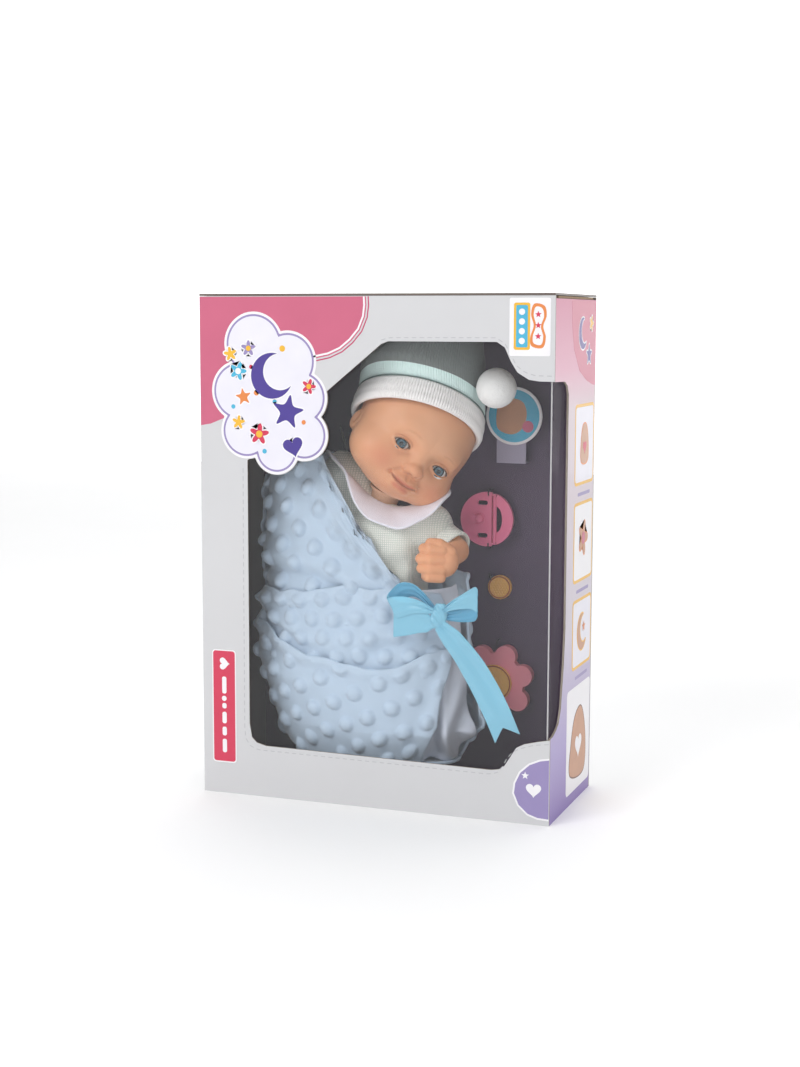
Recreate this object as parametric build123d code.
from build123d import *
import os
import math

os.makedirs("parts", exist_ok=True)

# ---------------------------------------------------------------- driving dimensions (mm)
W, D, H = 260.0, 112.0, 360.0      # carton: width X, depth Y, height Z
T = 1.5                            # carton board
X1, Y1 = W / 2, D / 2
LID_T = 1.5
PANEL_TOP = H - LID_T - 0.2        # panels stop just under the lid
FILM_T = 0.3
FILM_Y = -Y1 + T + 0.1             # front face of the film
CARD_Y, CARD_T = 47.0, 1.5         # backing card: front face and board
LEAN = 5.0                         # the doll's torso leans to the right
NECK = (-11.0, -1.0, 214.0)        # centre of the neck opening
CRAN = (14.0, -3.0, 267.0)         # centre of the cranium
CRAN_R, JAW_R = 43.0, 36.0
HEAD_C = (8.0, -5.0, 252.5)
HEAD_F = (0.592, -0.792, -0.147)   # the way the face looks
HEAD_U = (0.544, 0.259, 0.798)     # up through the crown
HEAD_S = (0.594, 0.553, -0.585)    # towards the doll's left ear
HAT_A = (0.070, 0.508, 0.862)      # normal of the hat brim's plane
VINYL = 3.0                        # vinyl wall of the head
SHELL = 2.5                        # wall of the torso halves
TW, TD, TH = 64.0, 44.0, 88.0      # torso width, depth, height


def nrm(v):
    k = math.sqrt(sum(c * c for c in v))
    return tuple(c / k for c in v)


def add(p, v, k=1.0):
    return tuple(a + b * k for a, b in zip(p, v))


def sub(p, q):
    return tuple(a - b for a, b in zip(p, q))


NECK_A = nrm(sub(CRAN, NECK))      # swivel axis of the neck
JAW = add(NECK, NECK_A, 35.0)
BODY_UP = (math.sin(math.radians(LEAN)), 0.0, math.cos(math.radians(LEAN)))
BODY_SIDE = (math.cos(math.radians(LEAN)), 0.0, -math.sin(math.radians(LEAN)))
TORSO = add(NECK, BODY_UP, -53.0)  # centre of the torso
TL = Location(TORSO, (0, LEAN, 0))
MIN3 = (Align.CENTER, Align.CENTER, Align.MIN)


def block(x0, x1, y0, y1, z0, z1):
    return Pos((x0 + x1) / 2, (y0 + y1) / 2, (z0 + z1) / 2) * Box(x1 - x0, y1 - y0, z1 - z0)


def cyl(p0, p1, r):
    v = sub(p1, p0)
    return Plane(origin=p0, z_dir=v) * Cylinder(r, math.sqrt(sum(c * c for c in v)), align=MIN3)


def ball(p, r):
    return Pos(*p) * Sphere(r)


def capsule(p0, p1, r):
    return cyl(p0, p1, r) + ball(p0, r) + ball(p1, r)


def xz(pts, y0, y1):
    """Outline in X and Z, from y0 forward (towards -Y) to y1."""
    pl = Plane(origin=(0, y0, 0), x_dir=(1, 0, 0), z_dir=(0, -1, 0))
    return extrude(pl * Polygon(*pts, align=None), amount=y0 - y1, dir=(0, -1, 0))


def yz(pts, x0, x1):
    """Outline in Y and Z, from x0 to x1."""
    pl = Plane(origin=(x0, 0, 0), x_dir=(0, 1, 0), z_dir=(1, 0, 0))
    return extrude(pl * Polygon(*pts, align=None), amount=x1 - x0, dir=(1, 0, 0))


def rbox(w, d, h, r):
    b = Box(w, d, h)
    return fillet(b.edges(), r)


def half(p, n, size=260.0):
    """The half space on the side of n, as a large block."""
    return Plane(origin=p, z_dir=n) * Box(size, size, size, align=MIN3)


NODES = {}


def put(name, shape):
    NODES[name] = shape


# ---------------------------------------------------------------- carton
# the printed cloud at the upper left overhangs the window
CLOUD = [(-88, 325, 23), (-62, 313, 22), (-52, 288, 20), (-50, 262, 18.5), (-71, 251, 17.5),
         (-94, 264, 20), (-99, 292, 22)]
win = [(-93.5, 53), (-93.5, 243.2), (7.5, 325.7), (12.5, 327.6), (90, 327.6), (95.5, 324),
       (99.9, 314.5), (104.5, 307.5), (112.4, 302.8), (120, 301.8), (140, 301.6), (140, 60),
       (131, 60), (121.7, 58.1), (112, 55.6), (106.3, 52.6), (101.4, 44.5), (98, 39.2), (94.3, 36.6),
       (88.6, 35.6), (-80.6, 37.5), (-88, 39.4), (-91.7, 43)]
cutter = xz(win, -Y1 + T + 5, -Y1 - 5)
for cx, cz, cr in CLOUD:
    cutter = cutter - cyl((cx, -Y1 + T + 6, cz), (cx, -Y1 - 6, cz), cr)
put("carton_front_panel", block(-X1, X1, -Y1, -Y1 + T, 0, PANEL_TOP) - cutter)
swin = [(-60, 301.6), (-29, 301), (-22, 298), (-18.5, 292), (-18.5, 130), (-21.5, 105), (-27.7, 75.6),
        (-33, 66.5), (-40, 63), (-48, 60.6), (-60, 60)]
side = block(X1 - T, X1, -Y1 + T, Y1 - T, 0, PANEL_TOP) - yz(swin, X1 - 6, X1 + 6)
DUST_TOP = PANEL_TOP - 1.9         # the side panels stop under the dust flaps
flap_room_r = block(X1 - T - 1, X1 + 1, -Y1, Y1, DUST_TOP, H)
put("carton_right_panel", side - flap_room_r)
put("carton_left_panel", block(-X1, -X1 + T, -Y1 + T, Y1 - T, 0, DUST_TOP))
put("carton_back_panel", block(-X1, X1, Y1 - T, Y1, 0, PANEL_TOP))
put("carton_bottom_panel", block(-X1 + T, X1 - T, -Y1 + T, Y1 - T, 0, T))

# lid with tuck tab, creased along the rear top edge
lid = block(-X1, X1, -Y1, Y1, H - LID_T, H)
tab = xz([(-120, H - 0.5), (120, H - 0.5), (120, H - 10), (113, H - 15), (-113, H - 15), (-120, H - 10)],
         -Y1 + 4.3, -Y1 + 2.8)
put("top_flap", lid + tab)
# dust flaps, creased along the side panels' top edges, cut away towards the lid's crease
fz = PANEL_TOP - 1.6
def dust(s):
    pts = [(s * X1, -49), (s * 62, -44), (s * 60, 8), (s * 114, 42), (s * X1, 46)]
    f = extrude(Pos(0, 0, fz) * Polygon(*pts, align=None), amount=1.4, dir=(0, 0, 1))
    return f
put("dust_flap_left", dust(-1))
put("dust_flap_right", dust(1))

film = block(-108, X1 - T - 0.1, FILM_Y, FILM_Y + FILM_T, 22, 338) + \
    block(X1 - T - 0.1 - FILM_T, X1 - T - 0.1, FILM_Y, -8, 22, 338)
put("window_film", film)

# backing card with returns to the carton's back
cx1 = X1 - T - 0.6
card = block(-cx1, cx1, CARD_Y, CARD_Y + CARD_T, 2, 350)
for b in (block(-cx1, -cx1 + T, CARD_Y, Y1 - T - 0.2, 2, 350), block(cx1 - T, cx1, CARD_Y, Y1 - T - 0.2, 2, 350),
          block(-cx1, cx1, CARD_Y, Y1 - T - 0.2, 2, 2 + T), block(-cx1, cx1, CARD_Y, Y1 - T - 0.2, 350 - T, 350)):
    card = card + b
PAC = (55.3, 197.6)                # pacifier centre in X, Z
BIS = (63.3, 146.6)
RAT = (61.5, 76.0)
DISC = (75.3, 273.4)
card = card - cyl((PAC[0] - 6, CARD_Y - 2, PAC[1]), (PAC[0] - 6, CARD_Y + 4, PAC[1]), 8.5)
put("backing_card", card)
put("picture_disc", cyl((DISC[0], 37.2, DISC[1]), (DISC[0], 36.0, DISC[1]), 21.0))
br = block(62, 84, 37.5, 38.5, 239, 262) + block(62, 84, 37.5, CARD_Y - 0.05, 239, 240.2) + \
    block(62, 84, 37.5, CARD_Y - 0.05, 260.8, 262)
put("disc_bracket", br)

# ---------------------------------------------------------------- accessories
px, pz = PAC
PT = 3.0                           # pacifier plate
pac_y0, pac_y1 = 36.0, 39.0
HX = px + 5.7                      # handle hinge axis
disc = cyl((px, pac_y1, pz), (px, pac_y0, pz), 20.0)
shield = disc & block(px - 25, HX - 1.9, 30, 45, pz - 25, pz + 25)
for s in (-1, 1):
    ear = disc & block(HX - 2.4, HX + 1.15, 36.2, 38.8, pz + s * 17.9 - 0.7, pz + s * 17.9 + 0.7)
    shield = shield + (ear - cyl((HX, 37.5, pz + s * 15), (HX, 37.5, pz + s * 21), 0.75))
    vent = Pos(px - 3.2, 37.5, pz + s * 12.0) * (Rot(90, 0, 0) * extrude(SlotOverall(8, 3.4), amount=5, both=True))
    shield = shield - vent
    shield = shield + cyl((px - 9.5, 36.5, pz), (px - 9.5, 33.8, pz), 3.2)
put("pacifier_shield", shield)
ring = disc & block(HX + 1.9, px + 25, 30, 45, pz - 25, pz + 25)
slot = Pos(HX + 1.4, 37.5, pz) * (Rot(90, 0, 0) * extrude(Ellipse(4.6, 9.5), amount=5, both=True))
handle = (ring - slot) + (cyl((HX, 37.5, pz - 16.9), (HX, 37.5, pz + 16.9), 1.5)
                          + block(HX, HX + 2.2, 36.6, 38.4, pz + 10, pz + 16.6)
                          + block(HX, HX + 2.2, 36.6, 38.4, pz - 16.6, pz - 10))
handle = handle + cyl((HX, 37.5, pz - 18.2), (HX, 37.5, pz + 18.2), 0.68)
put("pacifier_handle", handle)
nip = cyl((px - 6, pac_y1 + 0.02, pz), (px - 6, 48, pz), 3.6) + (Pos(px - 6, 48.0, pz) * Sphere(5.6))
put("pacifier_nipple", nip)
bis = cyl((BIS[0], CARD_Y - 0.05, BIS[1]), (BIS[0], CARD_Y - 3.6, BIS[1]), 8.8)
put("biscuit", bis)
rat = cyl((RAT[0], 45.5, RAT[1]), (RAT[0], 38.5, RAT[1]), 22.0)
for k in range(7):
    a = math.radians(90 + k * 360 / 7.0 - 22)
    c = (RAT[0] + 21.5 * math.cos(a), RAT[1] + 21.5 * math.sin(a))
    rat = rat + cyl((c[0], 45.5, c[1]), (c[0], 38.5, c[1]), 8.0)
put("rattle_flower", rat)
put("rattle_centre", cyl((RAT[0], 38.45, RAT[1]), (RAT[0], 36.2, RAT[1]), 13.5))


def staple(x, z, dz, y0, reach=4.0, r=0.4):
    """A tie: out of the card, then bent over the edge of what it holds."""
    p = FilletPolyline((x, CARD_Y - 0.05, z), (x, y0, z), (x, y0, z + dz * reach), radius=0.9)
    return sweep(Plane(origin=(x, CARD_Y - 0.05, z), z_dir=(0, -1, 0)) * Circle(r), path=p)


ties = [staple(px + 1.5, pz + 21.4, -1, 35.0), staple(px + 1.5, pz - 21.4, 1, 35.0),
        staple(BIS[0] - 6.5, BIS[1] + 7.6, -1, 42.6, 2.6),
        staple(RAT[0] + 2.0, RAT[1] + 32.0, -1, 37.6), staple(RAT[0] + 2.0, RAT[1] - 32.0, 1, 37.6)]
put("tie_wires", Compound(children=ties))
put("nylon_tag_pin", cyl((-64, CARD_Y - 0.6, 262), (-41.5, 6, 243.5), 0.6) + ball((-41.5, 6, 243.5), 1.1))

# ---------------------------------------------------------------- torso, in its own frame
torso = rbox(TW, TD, TH, 8.0) - rbox(TW - 2 * SHELL, TD - 2 * SHELL, TH - 2 * SHELL, 5.6)
ARM_Z, HIP_Z = 27.0, -27.0
for s in (-1, 1):
    torso = torso - cyl((s * 26, 0, ARM_Z), (s * 36, 0, ARM_Z), 7.05)
    torso = torso - cyl((s * 26, 0, HIP_Z), (s * 36, 0, HIP_Z), 7.05)
neck_l = (0.0, 0.0, 53.0)          # neck point in the torso's frame
ca = math.radians(-LEAN)
na_l = (NECK_A[0] * math.cos(ca) + NECK_A[2] * math.sin(ca), NECK_A[1],
        -NECK_A[0] * math.sin(ca) + NECK_A[2] * math.cos(ca))
torso = torso - cyl(add(neck_l, na_l, -24), add(neck_l, na_l, 2), 10.55)
POSTS = [(-20, 37), (20, 37), (-20, -37), (20, -37)]
front = torso & block(-40, 40, -30, 0, -50, 50)
back = torso & block(-40, 40, 0, 30, -50, 50)
screws = []
for x, z in POSTS:
    front = front + (cyl((x, -20.2, z), (x, -0.3, z), 2.8) - cyl((x, -9, z), (x, 1, z), 1.2))
    back = back + cyl((x, 0.3, z), (x, 20.2, z), 2.8)
for x, z in POSTS:
    back = back - cyl((x, -1, z), (x, 25, z), 1.4) - cyl((x, 16, z), (x, 26, z), 2.3)
    screws.append(cyl((x, -8, z), (x, 16.1, z), 1.15) + (cyl((x, 16.05, z), (x, 17.5, z), 2.1)
                  - Pos(x, 17.4, z) * Box(3.4, 1.0, 0.6)))
SPK = (0.0, 21.0)
for k in range(7):
    a = math.radians(60 * k)
    gx, gz = (0, SPK[1]) if k == 6 else (5.5 * math.cos(a), SPK[1] + 5.5 * math.sin(a))
    front = front - cyl((gx, -25, gz), (gx, -18, gz), 1.5)
BTN_Z = -12.0
front = front - cyl((0, -25, BTN_Z), (0, -18, BTN_Z), 9.3)
back = back - block(-16.5, 16.5, 18, 25, -31.0, 15.0)
back = back - block(-4.6, 4.6, 18, 25, 28.4, 31.6)
put("torso_front", TL * front)
put("torso_back", TL * back)
ring_n = cyl(add(neck_l, na_l, -17.5), add(neck_l, na_l, 5.5), 10.5) + \
    cyl(add(neck_l, na_l, 5.4), add(neck_l, na_l, 7.2), 13.2)
ring_n = (ring_n - cyl(add(neck_l, na_l, -20), add(neck_l, na_l, 9), 6.5)) & block(-40, 40, -30, 30, 38.0, 80)
put("neck_ring", TL * ring_n)

# electronics inside the torso
bx = block(-18.6, 18.6, 6.5, 19.4, -32, 16) - block(-17.1, 17.1, 8.0, 20, -30.5, 14.5)
put("battery_box", TL * bx)
cells = []
for i in (-1, 0, 1):
    c = cyl((i * 10.9, 13.9, -28.0), (i * 10.9, 13.9, 13.6), 5.1) + cyl((i * 10.9, 13.9, 13.5), (i * 10.9, 13.9, 14.3), 1.9)
    cells.append(TL * c)
put("battery_cells", Compound(children=cells))
door = block(-16.2, 16.2, 19.7, 21.9, -30.7, 14.7)
door = door - cyl((0, 19, -27.6), (0, 23, -27.6), 1.3) - cyl((0, 20.9, -27.6), (0, 23, -27.6), 2.3)
put("battery_door", TL * door)
screws.append(cyl((0, 19.75, -27.6), (0, 20.95, -27.6), 1.2) + cyl((0, 20.95, -27.6), (0, 21.8, -27.6), 2.15))
put("case_screws", Compound(children=[TL * s for s in screws]))


def coil(r, wire, pitch, height):
    h = Helix(pitch=pitch, height=height, radius=r)
    return sweep(Plane(h @ 0, z_dir=h % 0) * Circle(wire), path=h, is_frenet=True)


springs = []
for i in (-1, 0, 1):
    springs.append(TL * (Pos(i * 10.9, 13.9, -30.0) * coil(2.8, 0.25, 0.8, 1.6)))
put("contact_springs", Compound(children=springs))
board = block(-22, 22, -2.9, -1.4, -31, 8)
for (x0, x1, z0, z1, h) in ((-16, -9, -27, -20, 1.6), (8, 16, -8, 2, 1.2), (-18, -12, -4, 4, 2.2), (10, 14, -26, -20, 1.8)):
    board = board + block(x0, x1, -2.9 - h, -2.8, z0, z1)
put("circuit_board", TL * board)
put("press_switch", TL * (block(-3, 3, -6.0, -2.95, BTN_Z - 3, BTN_Z + 3) + cyl((0, -6.0, BTN_Z), (0, -6.7, BTN_Z), 1.6)))
spk = cyl((0, -19.2, SPK[1]), (0, -16.0, SPK[1]), 13.5) - cyl((0, -20, SPK[1]), (0, -17.0, SPK[1]), 11.6)
spk = spk + cyl((0, -16.0, SPK[1]), (0, -9.0, SPK[1]), 7.0)
put("speaker_frame", TL * spk)
put("speaker_cone", TL * (cyl((0, -18.9, SPK[1]), (0, -18.3, SPK[1]), 11.3) + cyl((0, -18.3, SPK[1]), (0, -17.2, SPK[1]), 4.0)))
btn = cyl((0, -22.3, BTN_Z), (0, -19.0, BTN_Z), 9.0) + cyl((0, -19.2, BTN_Z), (0, -17.6, BTN_Z), 11.0) + \
    cyl((0, -17.7, BTN_Z), (0, -9.0, BTN_Z), 3.0)
put("tummy_button", TL * btn)
sp = Rot(-90, 0, 0) * coil(4.6, 0.35, 2.4, 11.0)
put("button_spring", TL * (Pos(0, -14.9, BTN_Z) * sp))
put("power_switch_body", TL * (block(-7, 7, 13.5, 19.2, 27, 33)))
put("power_switch_slider", TL * (block(-3.9, -0.1, 19.3, 22.4, 28.6, 31.4)))


def wire(pts, r=0.55, rad=2.5):
    p = FilletPolyline(*pts, radius=rad)
    d0 = sub(pts[1], pts[0])
    return sweep(Plane(origin=pts[0], z_dir=d0) * Circle(r), path=p)


leads = []
for s in (-1, 1):
    leads.append(wire([(s * 17, -3.0, 5), (s * 17, -7.5, 5), (s * 17, -7.5, 14), (s * 9.5, -12.2, 19.5), (s * 7.1, -12.4, 20.5)], rad=1.4))
    leads.append(wire([(s * 20.2, -1.35, -8), (s * 20.2, 2.6, -8), (s * 20.2, 2.6, 2), (s * 12, 4.5, 6), (s * 12, 6.4, 6)], rad=1.2))
put("internal_leads", Compound(children=[TL * w for w in leads]))

# ---------------------------------------------------------------- head
FACE = add(add(HEAD_C, HEAD_F, 8.0), HEAD_U, -6.0)


def egg(k):
    """The cranium and jaw spheres, less a wall k, as one body of revolution about the neck's swivel axis."""
    rj, rc = JAW_R - k, CRAN_R - k
    reach = math.sqrt(sum(c * c for c in sub(CRAN, NECK)))
    gap = reach - 35.0
    a = (rj * rj - rc * rc + gap * gap) / (2 * gap)
    rho, join = math.sqrt(rj * rj - a * a), 35.0 + a
    half_j = math.acos(-a / rj) / 2
    mid_c = (math.acos((reach - join) / rc) + math.pi) / 2
    out = nrm((NECK_A[2], 0, -NECK_A[0]))
    zdir = (out[1] * NECK_A[2] - out[2] * NECK_A[1], out[2] * NECK_A[0] - out[0] * NECK_A[2],
            out[0] * NECK_A[1] - out[1] * NECK_A[0])
    line = (ThreePointArc((0, 35 - rj), (rj * math.sin(half_j), 35 - rj * math.cos(half_j)), (rho, join)) +
            ThreePointArc((rho, join), (rc * math.sin(mid_c), reach - rc * math.cos(mid_c)), (0, reach + rc)) +
            Line((0, reach + rc), (0, 35 - rj)))
    return revolve(Plane(origin=NECK, x_dir=out, z_dir=nrm(zdir)) * make_face(line), axis=Axis(NECK, NECK_A))


def skull(k):
    return egg(k) + Plane(origin=FACE, z_dir=HEAD_F) * Sphere(32.0 - k)


inner = skull(VINYL)
head = skull(0) - inner
head = head - cyl(add(NECK, NECK_A, -6), add(NECK, NECK_A, 5.0), 10.56)
eyes = {}
for nm, s, ahead in (("eye_left", 1, 25.2), ("eye_right", -1, 28.4)):
    c = add(add(add(HEAD_C, HEAD_F, ahead), HEAD_S, s * 18.2), HEAD_U, 0.3)
    eyes[nm] = c
    head = head - cyl(add(c, HEAD_F, -12), add(c, HEAD_F, 22), 7.65)
    put(nm, ball(c, 7.5))
nose = add(add(HEAD_C, HEAD_F, 38.5), HEAD_U, -7.5)
head = head + cyl(add(nose, HEAD_F, -1.2), add(nose, HEAD_F, 3.6), 4.0)
for s in (-1, 1):
    e = add(add(add(HEAD_C, HEAD_S, s * 39.5), HEAD_F, -2.0), HEAD_U, 1.0)
    head = head + (cyl(add(e, HEAD_S, -s * 6.0), add(e, HEAD_S, s * 4.0), 6.0) - inner)
put("head_shell", head)

# ---------------------------------------------------------------- hat
above = half(add(CRAN, HAT_A, 16.0), HAT_A)
brim = (ball(CRAN, 48.0) - ball(CRAN, CRAN_R + 0.4) - egg(-0.5)) & half(CRAN, HAT_A)
brim = brim - half(add(CRAN, HAT_A, 15.6), HAT_A)
for s in (-1, 1):
    e = add(add(add(HEAD_C, HEAD_S, s * 39.5), HEAD_F, -2.0), HEAD_U, 1.0)
    brim = brim - cyl(add(e, HEAD_S, -s * 6.0), add(e, HEAD_S, s * 6.0), 6.4)
put("hat_brim", brim)


def hat_loft(k, top):
    secs = [(232, 13.8, -2.5, 31, 31), (250, 13.8, -2.5, 43.5, 43), (267, 13.8, -2.5, 47.5, 46), (286, 14.5, -2, 46.0, 45),
            (305, 17, -1.5, 42, 41), (322, 21, 0, 37, 36), (335, 26, 1, 30, 29), (343, 30, 1, 19, 18)]
    fs = []
    for z, cx, cy, a, b in secs:
        if z <= top:
            fs.append(Pos(cx, cy, z) * Ellipse(a - k, b - k))
    return loft(fs)


crown = (hat_loft(0, 400) - hat_loft(3.0, 336)) & above
crown = crown - ball(CRAN, CRAN_R + 0.4)
put("hat_crown", crown)
put("hat_pompom", ball((76.5, -12.0, 295.2), 14.0))

# ---------------------------------------------------------------- arms and legs


def limb_plug(s, z):
    return cyl((s * 29.3, 0, z), (s * 33.0, 0, z), 7.0) + cyl((s * 26.6, 0, z), (s * 29.3, 0, z), 9.2)


def tw(p):
    """A point of the torso's frame, in the part's frame."""
    c, s = math.cos(math.radians(LEAN)), math.sin(math.radians(LEAN))
    return (TORSO[0] + p[0] * c + p[2] * s, TORSO[1] + p[1], TORSO[2] - p[0] * s + p[2] * c)


def tl(q):
    """A point of the part's frame, in the torso's frame."""
    c, s = math.cos(math.radians(LEAN)), math.sin(math.radians(LEAN))
    x, y, z = q[0] - TORSO[0], q[1] - TORSO[1], q[2] - TORSO[2]
    return (x * c - z * s, y, x * s + z * c)


SH_L = (44.5, 0.0, 30.5)
el, wr, fi = tl((48.0, -7.0, 177.5)), tl((45.5, -23.0, 177.0)), tl((41.0, -35.0, 177.0))
arm = ball(SH_L, 12.0) + cyl(SH_L, el, 10.0) + ball(el, 10.0) + cyl(el, wr, 9.0) + ball(fi, 12.6) + cyl(wr, fi, 9.0)
arm = arm & block(32.5, 90, -60, 30, -60, 60)
arm_l = arm + limb_plug(1, ARM_Z)
put("arm_left", TL * arm_l)
sl = ball(SH_L, 14.4) + cyl(SH_L, el, 12.6) - ball(SH_L, 12.2) - cyl(SH_L, el, 10.2) - ball(el, 10.2) - cyl(el, wr, 9.2)
sl = sl - half(add(el, sub(SH_L, el), 0.3), sub(el, SH_L))
sl = sl & block(35.3, 90, -60, 30, -60, 60)
put("romper_sleeve_left", TL * sl)
SH_R = (-44.5, 0.0, 30.5)
er, wr_r, fr = (-56.0, 0.0, 9.0), (-60.0, -6.0, -3.0), (-61.0, -9.0, -9.0)
arm_r = ball(SH_R, 12.0) + cyl(SH_R, er, 9.6) + ball(er, 9.6) + cyl(er, wr_r, 8.6) + ball(fr, 10.0) + cyl(wr_r, fr, 8.6)
arm_r = (arm_r & block(-90, -32.5, -60, 30, -60, 60)) + limb_plug(-1, ARM_Z)
put("arm_right", TL * arm_r)


def leg(s):
    hip, knee, ank = (s * 42.0, 0.0, HIP_Z - 2), (s * 38.0, -9.0, -68.0), (s * 35.0, -3.0, -100.0)
    toe = (s * 35.0, -14.0, -110.0)
    b = ball(hip, 13.5) + cyl(hip, knee, 12.5) + ball(knee, 12.5) + cyl(knee, ank, 10.5) + capsule(ank, toe, 9.6)
    b = b & block(min(s * 90, s * 20), max(s * 90, s * 20), -60, 40, -150, 60)
    cut = block(min(0, s * 32.5), max(0, s * 32.5), -60, 40, -46, 60)
    return (b - cut) + limb_plug(s, HIP_Z)


put("leg_left", TL * leg(1))
put("leg_right", TL * leg(-1))

# ---------------------------------------------------------------- clothes
romper = rbox(TW + 5.2, TD + 5.2, TH + 5.2, 9.0) - rbox(TW + 1.2, TD + 1.2, TH + 1.2, 8.3)
for s in (-1, 1):
    romper = romper - cyl((s * 30, 0, 29.5), (s * 40, 0, 29.5), 13.6)
    romper = romper - cyl((s * 30, 0, HIP_Z - 2), (s * 40, 0, HIP_Z - 2), 16.4)
    romper = romper - block(min(s * 18, s * 40), max(s * 18, s * 40), -30, 19, -60, HIP_Z - 10)
romper = romper - cyl(add(neck_l, na_l, -24), add(neck_l, na_l, 2), 12.0)
put("romper_body", TL * romper)
bib = (rbox(TW + 10.0, TD + 10.0, TH + 10.0, 11.0) - rbox(TW + 6.4, TD + 6.4, TH + 6.4, 9.6)) & \
    cyl((0, -40, 48), (0, 40, 48), 23.0)
bib = bib - cyl(add(neck_l, na_l, -24), add(neck_l, na_l, 2), 13.0)
bib = bib & block(-60, 60, -40, 40, 10, 49.0)
put("collar", TL * bib)

# blanket: wrap layers on one bundle shape, from the outside in
SECS = [(28, -15, 66, 34), (50, -13, 82, 40), (100, -24, 85, 43), (150, -26, 84, 43), (200, -32, 78, 41),
        (240, -46, 62, 34), (256, -56, 40, 28)]
BCY = -3.0


def bundle(k):
    return loft([Pos(cx, BCY, z) * Ellipse(a - k, b - k) for z, cx, a, b in SECS])


B0, B3, B36, B66, B72, B100 = bundle(0), bundle(3.0), bundle(3.6), bundle(6.4), bundle(7.0), bundle(9.6)
back_out = [(-118, 28), (78, 28), (78, 150), (58, 163), (24, 163), (-24, 205), (-52, 244), (-118, 226)]
bb = (B0 - B36) & xz(back_out, 60, 4.5)
floor_b = extrude(Pos(-15, BCY, 25.2) * Ellipse(64, 32), amount=2.9)
bb = bb + (floor_b & block(-120, 80, -60, 60, 25, 28.1))
put("blanket_back", bb)
tier_a = (B72 - B100) & xz([(-118, 200), (-101, 227), (-75, 240), (-52, 250), (-20, 203), (15, 153), (15, 126), (-118, 126)], 4.0, -60)
put("blanket_upper", tier_a)
tier_b = (B36 - B66) & xz([(-118, 142), (-26, 151), (15, 153), (46, 148), (46, 66), (-118, 66)], 4.0, -60)
put("blanket_middle", tier_b)
tier_c = (B0 - B3) & xz([(-118, 119), (-60, 104), (-22, 98.7), (12, 99.4), (50, 111), (45, 80), (38, 45), (30, 28.5), (-118, 28.5)], 4.0, -60)
put("blanket_lower", tier_c)
lining = (B72 - B100) & xz([(22, 28.5), (80, 28.5), (80, 150), (58, 158), (46, 152), (22, 120)], 4.0, -60)
put("blanket_lining", lining)

# bow on the front of the bundle
bow_y = -47.0
loop_l = xz([(9, 141), (9, 158), (24, 163), (42, 148), (42, 133), (24, 141)], bow_y, -53.0)
loop_r = xz([(53.5, 133), (53.5, 148), (68, 159), (74, 152), (74, 137), (66, 134)], bow_y + 1, -52.5)
put("bow_loop_left", loop_l - xz([(13, 146), (13, 155), (23, 157), (37, 146), (37, 141), (24, 147)], bow_y + 1, -54.0))
put("bow_loop_right", loop_r - xz([(57.5, 138), (57.5, 146), (67, 153), (70, 149), (70, 140), (66, 138)], bow_y + 2, -54.0))
put("bow_knot", fillet(block(42.6, 52.9, -53.4, -46.9, 130, 149).edges(), 2.4))
put("ribbon_tail_long", xz([(45, 129.4), (53.5, 129.4), (72, 108), (88, 84), (99.5, 54), (91.5, 55), (85.5, 46), (72, 75), (60, 104)],
                           -49.0, -50.6))
put("ribbon_tail_short", xz([(9, 124), (42, 125.5), (42, 132.4), (25, 131.8), (9, 133), (13, 128.5)], -47.3, -48.6))

for name, shape in NODES.items():
    export_step(shape, "parts/" + name + ".step")
print(len(NODES), "nodes; head", round(head.volume), len(head.solids()))
